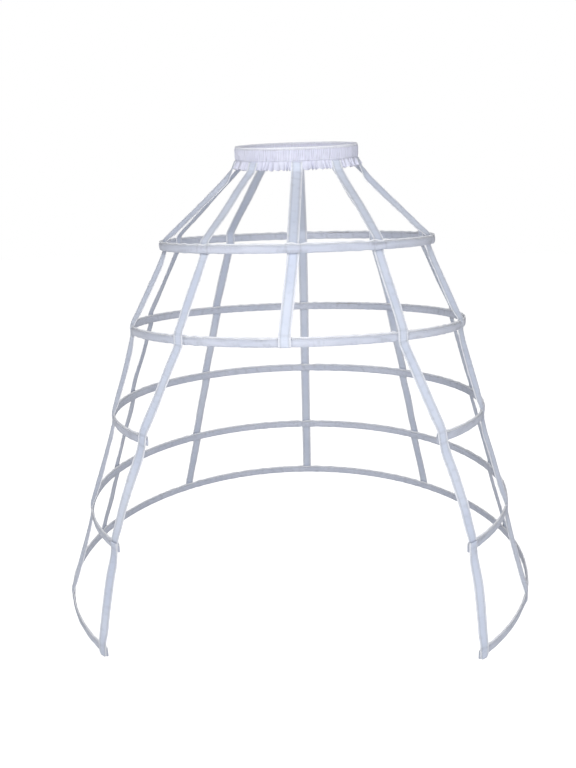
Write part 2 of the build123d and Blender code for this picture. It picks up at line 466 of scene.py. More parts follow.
def wear_group():
    """Uneven handling of cloth: soft creases and a faint change of tint over the surface."""
    group, n, given, result = new_group(
        "cloth_handling",
        [("Place", VECTOR, None), ("Crease", FLOAT, 40.0)],
        [("Height", FLOAT), ("Tint", FLOAT)],
    )
    fine = n.add(
        "ShaderNodeTexNoise",
        {"Vector": given["Place"], "Scale": given["Crease"], "Detail": 3.0, "Distortion": 0.6},
    )
    broad = n.add("ShaderNodeTexNoise", {"Vector": given["Place"], "Scale": 9.0, "Detail": 2.0})
    n.feed(result["Height"], fine.outputs[0])
    n.feed(result["Tint"], broad.outputs[0])
    return group


PLAIN_WEAVE, STITCH_ROW, HANDLING = weave_group(), stitch_group(), wear_group()


def opaque(tint, share=1.0):
    """Colour for a socket, darkened to a share."""
    return (*[part * share for part in tint], 1)


def shaded_material(name):
    """New material with an empty tree, its node helper, and the object's own coordinates."""
    material = bpy.data.materials.new(name)
    material.use_nodes = True
    n = Nodes(material.node_tree)
    n.tree.nodes.clear()
    return material, n, n.add("ShaderNodeTexCoord").outputs["Object"]


def finish_shader(n, tint, rough, height, strength, distance, **values):
    """Surface with this tint, roughness and bump, wired to the output."""
    bump = n.add(
        "ShaderNodeBump", {"Height": height, "Strength": strength, "Distance": distance}
    )
    shader = n.add(
        "ShaderNodeBsdfPrincipled",
        {"Base Color": tint, "Roughness": rough, "Normal": bump.outputs[0]},
    )
    for label, value in values.items():
        shader.inputs[label.replace("_", " ")].default_value = value
    n.tree.links.new(shader.outputs[0], n.add("ShaderNodeOutputMaterial").inputs[0])


def cloth_material(
    name, body, edge, shade, thread, hem, rows, pitch, stitch_width, mirrored=False,
    crease=45.0, painted_shade_strength=0.7,
):
    """White woven cloth: folded edge, stitch rows, weave, creases and a soft sheen, with shade
    painted into its folds, stitch furrows, needle holes and weave gaps.

    hem holds the two heights between which the folded edge's tint comes in; mirrored puts the
    edge and the rows on both sides of the middle.  painted_shade_strength is how dark the shade
    painted into the folds is.
    """
    material, n, place = shaded_material(name)
    uv = n.add("ShaderNodeUVMap", uv_map="cloth")
    split = n.add("ShaderNodeSeparateXYZ", {"Vector": uv.outputs[0]})
    along, across = split.outputs[0], split.outputs[1]
    side = n.math("ABSOLUTE", across) if mirrored else across
    weave = n.add("ShaderNodeGroup", node_tree=PLAIN_WEAVE)
    for label, value in (("Along", along), ("Across", across), ("Thread", thread)):
        n.feed(weave.inputs[label], value)
    handling = n.add("ShaderNodeGroup", node_tree=HANDLING)
    n.feed(handling.inputs["Place"], place)
    n.feed(handling.inputs["Crease"], crease)
    tint = n.mix(n.step(handling.outputs["Tint"], 0.35, 0.68), opaque(body), opaque(shade))
    tint = n.mix(n.step(side, *hem), tint, opaque(edge))
    # painted shade in the gaps between the weave's threads
    tint = n.mix(n.math("MULTIPLY", weave.outputs["Gap"], 0.35), tint, opaque(body, 0.72))
    # painted shade: the cloth is darkened towards half its body tint by the per-point fold value
    # stored on the mesh
    painted_shading = n.add("ShaderNodeAttribute", attribute_name="painted_shade").outputs["Fac"]
    tint = n.mix(n.math("MULTIPLY", painted_shading, painted_shade_strength), tint, opaque(body, 0.5))
    height = n.math("MULTIPLY", weave.outputs["Height"], 0.16)
    height = n.math("MULTIPLY_ADD", handling.outputs["Height"], 1.3, height)
    for row in rows:
        stitch = n.add("ShaderNodeGroup", node_tree=STITCH_ROW)
        labels = ("Along", "Across", "Row", "Pitch", "Width")
        for label, value in zip(labels, (along, side, row, pitch, stitch_width)):
            n.feed(stitch.inputs[label], value)
        # painted shade in the furrow that each stitch row presses into the cloth
        furrow = n.math("MULTIPLY", stitch.outputs["Furrow"], 0.4)
        tint = n.mix(furrow, tint, opaque(body, 0.7))
        tint = n.mix(stitch.outputs["Thread"], tint, opaque(edge))
        # painted shade in the needle holes at the stitches' ends
        tint = n.mix(stitch.outputs["Hole"], tint, opaque(body, 0.4))
        height = n.math("MULTIPLY_ADD", stitch.outputs["Furrow"], -0.7, height)
        height = n.math("MULTIPLY_ADD", stitch.outputs["Thread"], 0.9, height)
    rough = n.step(handling.outputs["Height"], 0.2, 0.8, 0.72, 0.86)
    finish_shader(
        n, tint, rough, height, 0.55, 0.6 * MM,
        Sheen_Weight=0.25, Sheen_Roughness=0.45, Specular_IOR_Level=0.28,
    )
    return material


TAPE_SEAM = 7.2 * MM  # of the stitches along a tape's edges, from its middle
SEAM_HEIGHT = 5.1 * MM  # of the stitches that close a casing's fold
BAND_SEAM = 8.3 * MM  # of the stitched furrow below the band's top fold

tape_cloth = cloth_material(
    "tape_cloth", body=(0.655, 0.70, 0.81), edge=(0.80, 0.82, 0.885),
    shade=(0.585, 0.635, 0.765), thread=0.35 * MM, hem=(7.0 * MM, 7.9 * MM), rows=[TAPE_SEAM],
    pitch=2.6 * MM, stitch_width=0.8 * MM, mirrored=True,
)
casing_cloth = cloth_material(
    "casing_cloth", body=(0.61, 0.64, 0.74), edge=(0.84, 0.86, 0.91), shade=(0.55, 0.585, 0.69),
    thread=0.4 * MM, hem=(5.4 * MM, 6.2 * MM), rows=[SEAM_HEIGHT], pitch=3.0 * MM,
    stitch_width=0.9 * MM, painted_shade_strength=0.9,
)
BAND_TINTS = {"body": (0.74, 0.75, 0.87), "shade": (0.69, 0.70, 0.84), "crease": 120.0}
band_cloth = cloth_material(
    "waistband_cloth", edge=(0.84, 0.85, 0.92), thread=0.4 * MM, hem=(9.2 * MM, 9.8 * MM),
    rows=[BAND_SEAM], pitch=2.4 * MM, stitch_width=0.8 * MM, **BAND_TINTS,
)
# the frill has no folded edge, so its tint comes in beyond any height of the cloth
frill_cloth = cloth_material(
    "frill_cloth", edge=(0.86, 0.87, 0.93), thread=0.4 * MM, hem=(0.2, 0.3), rows=[],
    pitch=2.4 * MM, stitch_width=0.8 * MM, **BAND_TINTS,
)


def plain_material(name, colour, other, roughness, scale, metallic=0.0, bump=0.1, coat=0.0):
    """Small hard part: two tints in a noise of this scale, with a fine low bump."""
    material, n, place = shaded_material(name)
    noise = n.add("ShaderNodeTexNoise", {"Vector": place, "Scale": scale, "Detail": 4.0})
    grain = n.add("ShaderNodeTexNoise", {"Vector": place, "Scale": scale * 9, "Detail": 2.0})
    tint = n.mix(n.step(noise.outputs[0], 0.35, 0.7), opaque(colour), opaque(other))
    rough = n.step(noise.outputs[0], 0.2, 0.8, roughness * 0.85, min(1.0, roughness * 1.15))
    finish_shader(
        n, tint, rough, grain.outputs[0], bump, 0.4 * MM, Metallic=metallic, Coat_Weight=coat
    )
    return material


thread_finish = plain_material("sewing_thread", (0.80, 0.82, 0.90), (0.70, 0.73, 0.84), 0.6, 900.0)
hard_parts = {
    "bone": plain_material(
        "bone_coating", (0.78, 0.79, 0.8), (0.7, 0.71, 0.73), 0.4, 60.0, coat=0.3
    ),
    "joiner": plain_material(
        "joiner_steel", (0.62, 0.62, 0.63), (0.5, 0.5, 0.52), 0.32, 90.0, metallic=1.0
    ),
    "tip": plain_material("tip_plastic", (0.85, 0.86, 0.87), (0.8, 0.81, 0.83), 0.35, 70.0),
    "elastic": plain_material(
        "elastic", (0.8, 0.8, 0.8), (0.7, 0.7, 0.71), 0.8, 700.0, bump=0.4
    ),
}
for name, node in nodes.items():
    for kind, material in hard_parts.items():
        if kind in name:
            node.data.materials.clear()
            node.data.materials.append(material)


# ---- hoop casings ----

# section of a casing, from its folded top edge down: height, half-thickness (mm)
CASING_SECTION = np.array([
    (8.0, 0.35), (7.6, 0.85), (7.0, 1.2), (6.3, 1.3), (5.7, 1.2), (5.35, 0.95), (5.1, 0.85),
    (4.8, 1.0), (4.1, 1.6), (3.0, 2.1), (1.6, 2.3), (0.0, 2.35), (-1.6, 2.3), (-3.2, 2.2),
    (-4.8, 2.0), (-6.0, 1.7), (-6.9, 1.35), (-7.5, 0.95), (-7.85, 0.6), (-8.0, 0.3),
]) * MM
CASING_STEP = 2.2 * MM
HARD_SWELL = 0.65 * MM  # where a joiner or tip fills the casing
STREAK = 0.25  # the slanting creases' pace along the hoop, which draws them out four times
PLEAT_HEIGHT = 2.2 * MM  # of the painted shade line where the cloth leaves the bone
TAPE_EDGE_PLACE = 11.3 * MM  # of the shade beside a tape, from the tape's middle
SKIN = 0.02 * MM  # between the cloth and the CAD casing's own faces
FREE_BULGE = 0.35 * MM  # how far the front may stand past them away from the tapes
HEM_SWEEP = 1.4 * MM  # length of an open end's flattened hem
OPEN_RISE = (1.03, 1.17)  # how much taller the open casings stand, at the back and at the ends
# how far the open casings run past the front tapes' middles
HOOP_ENDS = {"hoop_3": 12.2 * MM, "hoop_4": 11.0 * MM, "hoop_5": 10.9 * MM}


def angular(a, b):
    """Distance between two turns, the short way round."""
    return np.abs((a - b + math.pi) % (2 * math.pi) - math.pi)


def past_hard_part(hoop, turns):
    """Distance along the hoop beyond the ends of its joiner or of its nearer tip."""
    if hoop.whole:
        hard = hoop.local(node_points(hoop.name + "_joiner"))[:, 0]
        off = angular(turns, hard.mean())
    else:
        hard = hoop.local(node_points(hoop.name + "_tip_left"))[:, 0]
        off = np.minimum(np.abs(turns - hard.mean()), np.abs(2 * math.pi - turns - hard.mean()))
    return (off - np.ptp(hard) / 2) * hoop.radius


def build_casing(number, hoop):
    """Folded cloth round a hoop.

    The section swells over the joiner or the tips and carries slanting creases that gather
    towards the tapes, where the cloth is held flat; both edges wave a little.  Open hoops end
    in a flattened, closed hem, and stand taller towards it.
    """
    up, thick = CASING_SECTION[None, :, 0], CASING_SECTION[None, :, 1]
    crossings = [found[1][number] for found in stations.values() if len(found[1]) > number]
    start = 0.0
    if not hoop.whole:
        start = np.abs(crossings).min() - HOOP_ENDS[hoop.name] / hoop.radius
    sweep = 2 * (math.pi - start)
    count = int(sweep * hoop.radius / CASING_STEP)
    turns = start + np.linspace(0, 1, count, endpoint=not hoop.whole) * sweep
    along = turns * hoop.radius
    lap = sweep * hoop.radius if hoop.whole else None
    grid, high = np.broadcast_arrays(along[:, None], up)
    nearest = np.min([angular(turns, turn) for turn in crossings], axis=0)[:, None] * hoop.radius
    near, free = bell(nearest, 28 * MM), 1 - bell(nearest, 9 * MM)

    swell = 1 - smooth(past_hard_part(hoop, turns), 1 * MM, 9 * MM)[:, None]
    corner = smooth(abs(up), 4.5 * MM, 6.0 * MM) * (1 - smooth(abs(up), 7.0 * MM, 8.0 * MM))
    bulge = thick + swell * HARD_SWELL * corner

    patch = 0.5 + 0.5 * waves(along, 90 * MM, lap, count=5).clip(-1, 1)
    inside = 1 - smooth(abs(up), 6.3 * MM, 8.0 * MM)
    below_seam = inside * (1 - smooth(up, 3.6 * MM, 4.8 * MM))
    slant = creases(STREAK * grid, high, 11 * MM, 0.9, lap and STREAK * lap)
    fine = creases(grid, high, 6 * MM, 0.5, lap)
    wrinkle = slant * (0.12 + 0.30 * patch + 0.22 * near) + fine * (0.06 + 0.14 * near)
    front = bulge + wrinkle * MM * inside * (0.35 + 0.65 * free)
    behind = creases(grid, high, 14 * MM, 0.7, lap) * 0.2 * MM * inside
    limit = hoop.half_thickness - SKIN
    front = np.minimum(front, np.where(free > 0.5, limit + FREE_BULGE, limit))
    back = -np.minimum(bulge + behind, limit)

    wave = waves(along, 26 * MM, lap) * (0.35 + 0.45 * near) * MM
    rise = up + wave * (smooth(up, 3 * MM, 8 * MM) - 0.5 * smooth(-up, 3 * MM, 8 * MM))

    # painted shade: the casing's colour darkens along its stitched seam, along the pleat where the
    # cloth leaves the bone, in the tucks below the seam and beside each tape
    seam = bell(up - SEAM_HEIGHT, 0.95 * MM)
    pleat = bell(up - PLEAT_HEIGHT, 0.8 * MM) * (0.4 + 0.6 * patch)
    tucks = smooth(-slant - 0.4 * fine, 0.1, 1.5) * (0.12 + 0.22 * patch + 0.24 * near)
    beside = bell(nearest - TAPE_EDGE_PLACE, 1.6 * MM) * 0.35
    painted_shading = seam + 0.5 * pleat + tucks * below_seam + beside
    # painted shade on the inner face, along the seam and in its creases
    painted_shading_behind = 0.5 * seam + smooth(-behind, 0.0, 0.4 * MM) * 0.3
    if not hoop.whole:
        from_end = np.minimum(along - along[0], along[-1] - along)[:, None]
        hem = smooth(from_end, 0.0, HEM_SWEEP)
        front, back = front * (0.6 + 0.4 * hem), back * (0.6 + 0.4 * hem)
        towards_end = (0.5 + 0.5 * np.cos(turns))[:, None]
        taller = OPEN_RISE[0] + (OPEN_RISE[1] - OPEN_RISE[0]) * towards_end
        rise = rise * (0.93 + 0.07 * hem) * taller
    piece = cloth_strip(
        hoop.name + "_casing_cloth", hoop.path(turns), rise, front, back, casing_cloth, hoop.whole,
        painted_shades=(painted_shading, painted_shading_behind),
    )
    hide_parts(hoop.name + "_casing")


for number, hoop in enumerate(hoops):
    build_casing(number, hoop)


# ---- tapes ----

# half of a tape's section from its edge: distance from the middle, half-thickness (mm)
TAPE_EDGE = [
    (9.95, 0.22), (9.6, 0.5), (9.0, 0.66), (8.3, 0.66), (7.75, 0.56), (7.2, 0.34), (6.3, 0.43),
    (3.6, 0.47),
]
TAPE_SECTION = np.array(TAPE_EDGE + [(0.0, 0.48)] + [(-x, t) for x, t in TAPE_EDGE[::-1]]) * MM
TAPE_STEP = 2.2 * MM
SIDES = ("side_left", "side_right")
SIDE_TAIL = 5 * MM  # of the side tapes past the hem
SIDE_TURN = (0.50, 0.22)  # radians, at the waist and at the hem
SIDE_SHIFT = 1.2 * TAPE_EDGE[0][0] * MM  # inwards, for each unit of the turn's sine
CENTRE_TRIM = 1.2 * MM  # the centre front tape ends level with its hoop's lower edge
FRONT_SWING = 2.6 * MM  # towards the open front at the open hoops, and away between them
FRONT_BIAS = 0.15  # share of the swing by which it leans away from the opening
FRONT_HALF_SPAN = 80 * MM  # from an open hoop to the middle of the run below it
FRONT_TURN = (0.13, 0.27)  # radians, at the open hoops and between them
FRONT_LIFT = 1.2 * MM  # off the open hoops' casings
TAPE_EASE = (1.6, 2.5)  # rows of smoothing of a tape's line and of its crosswise direction
FRONT_EASE = 4.5  # rows of smoothing at the front tapes' bends below the second hoop
POINT_LENGTH = 9 * MM  # of the front tapes' blunt points
DOUBLE = 0.25 * MM  # extra thickness of the folded-under top


def tape_path(place):
    """Middles, outward and crosswise directions along a tape, and where its rows and stations lie.

    Straight between the stations, then smoothed at the bends; the outward direction is square
    to both the run and the tape's width.
    """
    found, _ = stations[place]
    middles = np.array([middle for middle, _ in found])
    acrosses = np.array([across for _, across in found])
    last_run = unit(middles[-1] - middles[-2])
    if place in SIDES:
        middles[-1] += last_run * SIDE_TAIL
    elif place == "centre_front":
        middles[-1] -= last_run * CENTRE_TRIM
    at = run_lengths(middles)
    where = np.linspace(0, at[-1], int(at[-1] / TAPE_STEP))
    line = np.stack([np.interp(where, at, middles[:, k]) for k in range(3)], axis=1)
    wide = np.stack([np.interp(where, at, acrosses[:, k]) for k in range(3)], axis=1)
    if place.startswith("front"):
        eased = smooth(where, at[5], at[6])[:, None]
        line = line + (blur(line, FRONT_EASE) - line) * eased
    line, wide = blur(line, TAPE_EASE[0]), blur(wide, TAPE_EASE[1])
    run = unit(np.gradient(line, axis=0))
    wide = unit(wide - run * (wide * run).sum(1, keepdims=True))
    outward = np.cross(run, wide)
    halfway = len(line) // 2
    if (outward[halfway] * (line[halfway] * [1, 1, 0])).sum() < 0:
        wide, outward = -wide, -outward
    return line, outward, wide, where, at


def turned_path(place, line, outward, wide, where, at, nearest):
    """The path with the tape turned and shifted as it hangs.

    The side tapes turn their outer faces to the front all the way down, most at the waist; the
    front tapes do so below the second hoop, where they also swing sideways.
    """
    to_front = -np.sign(wide[:, 1:2])
    forward = wide * to_front
    hanging = smooth(nearest, 9 * MM, 38 * MM)[:, None]
    turned = np.zeros((len(where), 1))
    if place in SIDES:
        turned = (0.6 + 0.4 * hanging) * smooth(where, 12 * MM, 45 * MM)[:, None]
        turned *= SIDE_TURN[0] + (SIDE_TURN[1] - SIDE_TURN[0]) * (where / where[-1])[:, None]
        line = line - outward * np.sin(turned) * SIDE_SHIFT
    elif place.startswith("front"):
        lower = smooth(where, at[5], at[6])[:, None]  # from the second hoop to the third
        turned = lower * (FRONT_TURN[0] + (FRONT_TURN[1] - FRONT_TURN[0]) * hanging)
        swing = np.cos(math.pi * np.minimum(nearest / FRONT_HALF_SPAN, 1)) - FRONT_BIAS
        swing = np.where(where > at[7], swing, 1 - FRONT_BIAS)[:, None] * FRONT_SWING
        line = line + outward * lower * (1 - hanging) * FRONT_LIFT + forward * lower * swing
    facing = np.cos(turned) * outward + np.sin(turned) * forward
    return line, facing, (np.cos(turned) * forward - np.sin(turned) * outward) * to_front


def build_tape(place):
    """Flat folded tape with a raised hem along both edges.

    It bows and twists a little between its seams and has a doubled, folded-under top.  The
    front tapes narrow to a blunt point at the hem.
    """
    line, outward, wide, where, at = tape_path(place)
    seams = np.concatenate([[0.0], (at[2::2] + at[3::2]) / 2, at[-1:]])
    nearest = np.min(np.abs(where[:, None] - seams), axis=1)
    path = turned_path(place, line, outward, wide, where, at, nearest)
    thick = TAPE_SECTION[:, 1]
    grid, across = np.broadcast_arrays(where[:, None], TAPE_SECTION[:, 0])
    free = smooth(nearest, 10 * MM, 45 * MM)[:, None]
    bow = waves(where, 150 * MM) * 0.55 * MM * free
    twist = waves(where, 170 * MM) * 0.05 * free * across
    ripple = creases(grid, across, 22 * MM, 0.3) * smooth(abs(across), 5 * MM, 9 * MM)
    buckle = creases(grid, across, 12 * MM, 0.5)
    lift = bow + twist + ripple * (0.3 + 0.7 * free) * 0.12 * MM + buckle * 0.09 * MM
    double = (1 - smooth(where, 7 * MM, 9 * MM))[:, None] * DOUBLE
    spread = 1.0
    if place.startswith("front"):
        left = np.clip((where[-1] - where)[:, None] / POINT_LENGTH, 0, 1)
        spread = 0.45 + 0.55 * np.sqrt(1 - (1 - left) ** 2)
    # painted shade: a dark line inside each raised hem, a band just above and below each hoop, and
    # the buckles' hollows; the back face gets a lighter share
    hem = bell(abs(across) - 7.0 * MM, 0.75 * MM)
    tied = (bell(nearest - 9.5 * MM, 2.2 * MM) * (where > 20 * MM))[:, None]
    painted_shading = 0.8 * hem + 0.35 * tied + 0.25 * smooth(-buckle, 0.4, 1.6)
    piece = cloth_strip(
        "tape_" + place + "_cloth", path, across * spread, lift + thick + double, lift - thick,
        tape_cloth, painted_shades=(painted_shading, 0.4 * hem + 0.2 * tied),
    )
    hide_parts("tape_" + place)


# ---- waistband ----


def oval_path(inset, count):
    """Even steps round the waistband's oval, this far inside it: its path, its places and lap."""
    fine = np.linspace(0, 2 * math.pi, 4001)
    a, b = HALF_WIDTH - inset, HALF_DEPTH - inset
    runs = run_lengths(np.stack([a * np.sin(fine), -b * np.cos(fine)], axis=1))
    turn = np.interp(np.arange(count) / count * runs[-1], runs, fine)
    x, y = a * np.sin(turn), -b * np.cos(turn)
    middle = waist_middle + x[:, None] * waist_side + y[:, None] * waist_fore
    square = unit(np.stack([x / a**2, y / b**2], axis=1))
    outward = square[:, :1] * waist_side + square[:, 1:] * waist_fore
    return (middle, outward, np.broadcast_to(waist_up, middle.shape)), np.stack([x, y], 1), runs[-1]


BAND_ROWS = np.array([
    12.0, 11.7, 11.2, 10.4, 9.6, 8.9, 8.3, 7.7, 6.9, 5.6, 4.0, 2.2, 0.4, -1.4, -3.2, -5.0, -6.8,
    -8.4, -9.8, -10.9, -11.6, -12.0,
]) * MM
BAND_COUNT = 1500  # rows round the waist
BAND_EASE = 1.35  # length of the band laid flat, over its lap
BAND_ROUND = 12.35 * MM  # the two folds round off towards this height
GATHER_PITCH = 3.3 * MM


def build_band():
    """Shirred tube round the elastic.

    Upright ribs stand out of the outer face, uneven in width and leaning a little; a stitched
    furrow runs below the top fold, and both folds are rounded.
    """
    path, _, lap = oval_path(0.0, BAND_COUNT)
    along = np.arange(BAND_COUNT) / BAND_COUNT * lap
    up = BAND_ROWS[None]
    grid, high = np.broadcast_arrays(along[:, None], up)
    shift = waves(along, 18 * MM, lap) * 0.9 * MM
    lean = waves(along, 40 * MM, lap) * 0.12 * up
    phase = 2 * math.pi * round(lap / GATHER_PITCH) * (grid + shift + lean) / lap
    vary = 0.75 + 0.25 * creases(grid, high, 12 * MM, 0.6, lap)
    folded = np.sqrt(np.clip(1 - (abs(up) / BAND_ROUND) ** 10, 0, 1))
    ridge = (0.5 + 0.5 * np.sin(phase)) ** 0.8
    inner_ridge = (0.5 + 0.5 * np.cos(phase + 1.1)) ** 0.8
    fold_over = smooth(up, 8.6 * MM, 9.6 * MM)
    furrow = bell(up - BAND_SEAM, 0.8 * MM)
    rib = ridge * vary * (0.35 + 0.65 * folded) * (1 - 0.55 * fold_over)
    barrel = 0.9 * (up / BAND_ROWS[0]) ** 2
    outer = -1.0 + 1.15 * rib - 0.45 * furrow + 0.25 * fold_over - barrel - 1.6 * (1 - folded)
    inner = -5.0 + 0.6 * inner_ridge + 1.8 * (1 - folded)
    outer = np.maximum(outer, inner + 0.5)
    # painted shade: the outer face darkens between the ribs and in the stitched furrow, the inner
    # face between its own ridges
    painted_shading = (1 - ridge) * vary * (0.75 - 0.45 * fold_over) + 0.6 * furrow
    piece = cloth_strip(
        "waistband_shirred", path, BAND_ROWS, outer * MM, inner * MM, band_cloth, True, BAND_EASE,
        painted_shades=(painted_shading, (1 - inner_ridge) * 0.5),
    )
    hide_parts("waistband")


FRILL_ROWS = np.linspace(0, 1, 15)
FRILL_COUNT = 1300  # rows round the waist
FRILL_TOP = -11.2 * MM
FRILL_MAP = 1.6  # the weave's map is drawn out a little more
RUFFLE_PITCH = 8.5 * MM


def build_frill():
    """Narrow ruffle below the band.

    A wave that grows from the seam to the free edge throws it in and out; its edge rises where
    the wave swings.  It lies flat under each tape.
    """
    path, places, lap = oval_path(0.0, FRILL_COUNT)
    along = np.arange(FRILL_COUNT)[:, None] / FRILL_COUNT * lap
    tops = waist_local(np.array([found[0][0] for found, _ in stations.values()]))[:, :2]
    nearest = np.linalg.norm(places[:, None] - tops, axis=2).min(axis=1)
    free = smooth(nearest, 8 * MM, 14 * MM)[:, None]
    down = FRILL_ROWS[None]
    shift = waves(along[:, 0], 30 * MM, lap) * 2.0 * MM
    lean = waves(along[:, 0], 25 * MM, lap) * 2.2 * MM * down
    phase = 2 * math.pi * round(lap / RUFFLE_PITCH) * (along + shift + lean) / lap
    vary = 0.85 + 0.3 * waves(along[:, 0], 20 * MM, lap)
    wave = (np.sin(phase) + 0.22 * np.sin(2 * phase + 0.7)) * vary
    throw = (0.35 + 2.9 * down**1.1) * (0.12 + 0.88 * free)
    middle = -1.9 + 5.6 * down + wave * throw
    thick = 0.38 + 0.25 * smooth(down, 0.86, 0.93) - 0.3 * smooth(down, 0.97, 1.0)
    scallop = (1.6 * np.sin(phase + 0.5) * vary + 0.5) * down * free * MM
    drop = abs(FRILL_FOOT) + FRILL_TOP - 0.6 * MM
    # painted shade: the ruffle darkens where its wave turns inwards and just below the seam; the
    # back face where the wave turns outwards
    inward_shade = smooth(-wave, -0.5, 1.1) * (0.35 + 0.65 * down) * free
    painted_shading = 0.75 * inward_shade + 0.4 * bell(down, 0.07)
    piece = cloth_strip(
        "waistband_frill", path, FRILL_TOP - down * drop + scallop, (middle + thick) * MM,
        (middle - thick) * MM, frill_cloth, True, FRILL_MAP,
        painted_shades=(painted_shading, 0.5 * smooth(wave, -0.3, 1.1) * down),
    )


build_band()
build_frill()
for place in TAPE_PLACES:
    build_tape(place)


# ---- sewn threads and the cuffs at the fourth hoop's ends ----

BEAD_PITCH = 2.6 * MM
BEAD_LENGTH = 2.0 * MM
BEAD_THICKNESS = 0.6 * MM
HOOP_SEAM = 16 * MM  # length of a row of stitches across a tape
HOOP_SEAM_HEIGHTS = (SEAM_HEIGHT, -6.0 * MM)
SEAM_REACH = 0.2  # radians round a hoop, for picking a tape's corners beside it
OPEN_LIFT = 0.7 * MM  # how much further out the stitches over the open hoops' tapes lie
BAND_SEAMS = ((BAND_SEAM, 1.0 * MM), (-10.6 * MM, 0.7 * MM))  # heights, and how far inside
TOP_SEAM = np.arange(-7.5, 7.6, 2.5)[:, None] * MM  # stitches across a tape's top
TOP_SEAM_DROPS = (2.0 * MM, 9.0 * MM)
TOP_SEAM_FACE = 0.75 * MM  # off the middle of the doubled top


def sew(name, rows):
    """One piece of thread from several rows; each row is (centres, along, outward) arrays."""
    centres, along, outward = (np.concatenate(part) for part in zip(*rows))
    args = (unit(along), outward, BEAD_LENGTH, BEAD_THICKNESS, thread_finish)
    thread_piece(name, centres, *args)


def hoop_row(hoop, turn, height, offset):
    """Stitches along a hoop, over one tape's width."""
    spots = np.arange(-HOOP_SEAM / 2, HOOP_SEAM / 2 + 0.1 * MM, BEAD_PITCH)
    turns = turn + spots / hoop.radius
    middle, outward, up = hoop.path(turns)
    along = np.cos(turns)[:, None] * hoop.side + np.sin(turns)[:, None] * hoop.fore
    return middle + outward * offset + up * height, along, outward


def casing_face(height):
    """Half-thickness of a casing at one height."""
    return float(np.interp(-height, -CASING_SECTION[:, 0], CASING_SECTION[:, 1]))


def sew_hoop(number, hoop):
    """Two rows of stitches at each crossing, on whichever of tape and casing lies outside."""
    rows = []
    for place, (_, crossings) in stations.items():
        if len(crossings) <= number:
            continue
        turn = crossings[number]
        local = hoop.local(node_points("tape_" + place))
        near = (np.abs(local[:, 2]) < HEIGHT_REACH) & (angular(local[:, 0], turn) < SEAM_REACH)
        tape_face = local[near, 1].max() - hoop.radius + (0.0 if hoop.whole else OPEN_LIFT)
        outside = local[near, 1].mean() > hoop.radius
        for height in HOOP_SEAM_HEIGHTS:
            rows.append(hoop_row(hoop, turn, height, tape_face if outside else casing_face(height)))
    sew(hoop.name + "_stitches", rows)


def sew_waist():
    """Stitches round the band's two seams, and two rows of them at every tape's top."""
    lap = 1.9 * (HALF_WIDTH + HALF_DEPTH) * math.pi / 2  # a little less than the band's
    count = int(lap / BEAD_PITCH)
    rows = []
    for height, inset in BAND_SEAMS:
        (middle, outward, up), _, _ = oval_path(inset, count)
        rows.append((middle + up * height, np.cross(up, outward), outward))
    for found, _ in stations.values():
        (top, across), (foot, _) = found[0], found[1]
        run = unit(foot - top)
        outward = np.cross(run, across)
        outward = outward * np.sign(outward @ (top * [1, 1, 0]))
        for drop in TOP_SEAM_DROPS:
            centres = top + run * drop + outward * TOP_SEAM_FACE + across * TOP_SEAM
            rows.append((centres, *np.broadcast_arrays(across, outward, centres)[:2]))
    sew("waistband_stitches", rows)


CUFF_LENGTH = 27 * MM
CUFF_WIDTH = 18 * MM
CUFF_ROWS, CUFF_COLUMNS = 16, 15
CUFF_THICK = 0.35 * MM  # half the cloth's thickness
CUFF_ABOVE = 0.36  # share of the length that lies above the hoop's middle
CUFF_LIFT = 3.2 * MM  # off the tape's middle
CUFF_OVERHANG = (3.6 * MM, 2.6 * MM)  # towards the open front, and how much more at the corner


def build_cuff(side):
    """Turned-over end of cloth where a front tape passes the fourth hoop.

    A short strip over the tape, narrowing to a frayed corner; its width falls as 1 - 0.72 t^3.
    """
    hoop = hoops[3]
    found, crossings = stations["front_" + side]
    turn = crossings[3]
    upper, lower = found[8][0], found[9][0]  # just above and just below the hoop
    run = unit(lower - upper)
    t = np.linspace(0, 1, CUFF_ROWS)[:, None]
    columns = np.linspace(1, -1, CUFF_COLUMNS)[None]
    outward = hoop.path(np.array([turn]))[1][0]
    forward = hoop.across(turn) * -np.sign(turn)  # towards the open front
    middle = (upper + lower) / 2 + run * (t - CUFF_ABOVE) * CUFF_LENGTH
    middle = middle + outward * CUFF_LIFT
    middle = middle + forward * (CUFF_OVERHANG[0] + CUFF_OVERHANG[1] * t**2)
    fray = 1 + 0.06 * waves(t[:, 0], 0.16) * t
    half = CUFF_WIDTH / 2 * (1 - 0.72 * t**3) * fray
    bend = 0.25 * waves(t[:, 0], 0.5) * (columns + 0.4) - columns**4
    facing = unit(outward + FRONT_TURN[0] * forward)
    _, facing, wide = np.broadcast_arrays(middle, facing, unit(np.cross(run, facing)))
    # painted shade: a band across the cuff at two fifths of its length
    piece = cloth_strip(
        f"hoop_4_cuff_{side}", (middle, facing, wide), columns * half, bend * MM + CUFF_THICK,
        bend * MM - CUFF_THICK, tape_cloth, painted_shades=(0.25 * bell(t - 0.4, 0.08), 0.0),
    )


for number, hoop in enumerate(hoops):
    sew_hoop(number, hoop)
for side in ("left", "right"):
    build_cuff(side)
sew_waist()


# ---- stage, light and camera ----

FLOOR_DROP = 84 * MM  # below the lowest hem, as when the cage is worn
FLOOR_RADII = (0.001, 2.0, 9.0)
FLOOR_SIDES = 96
FLOOR_TINTS = (0.34, 0.34, 0.345), (0.38, 0.38, 0.385)


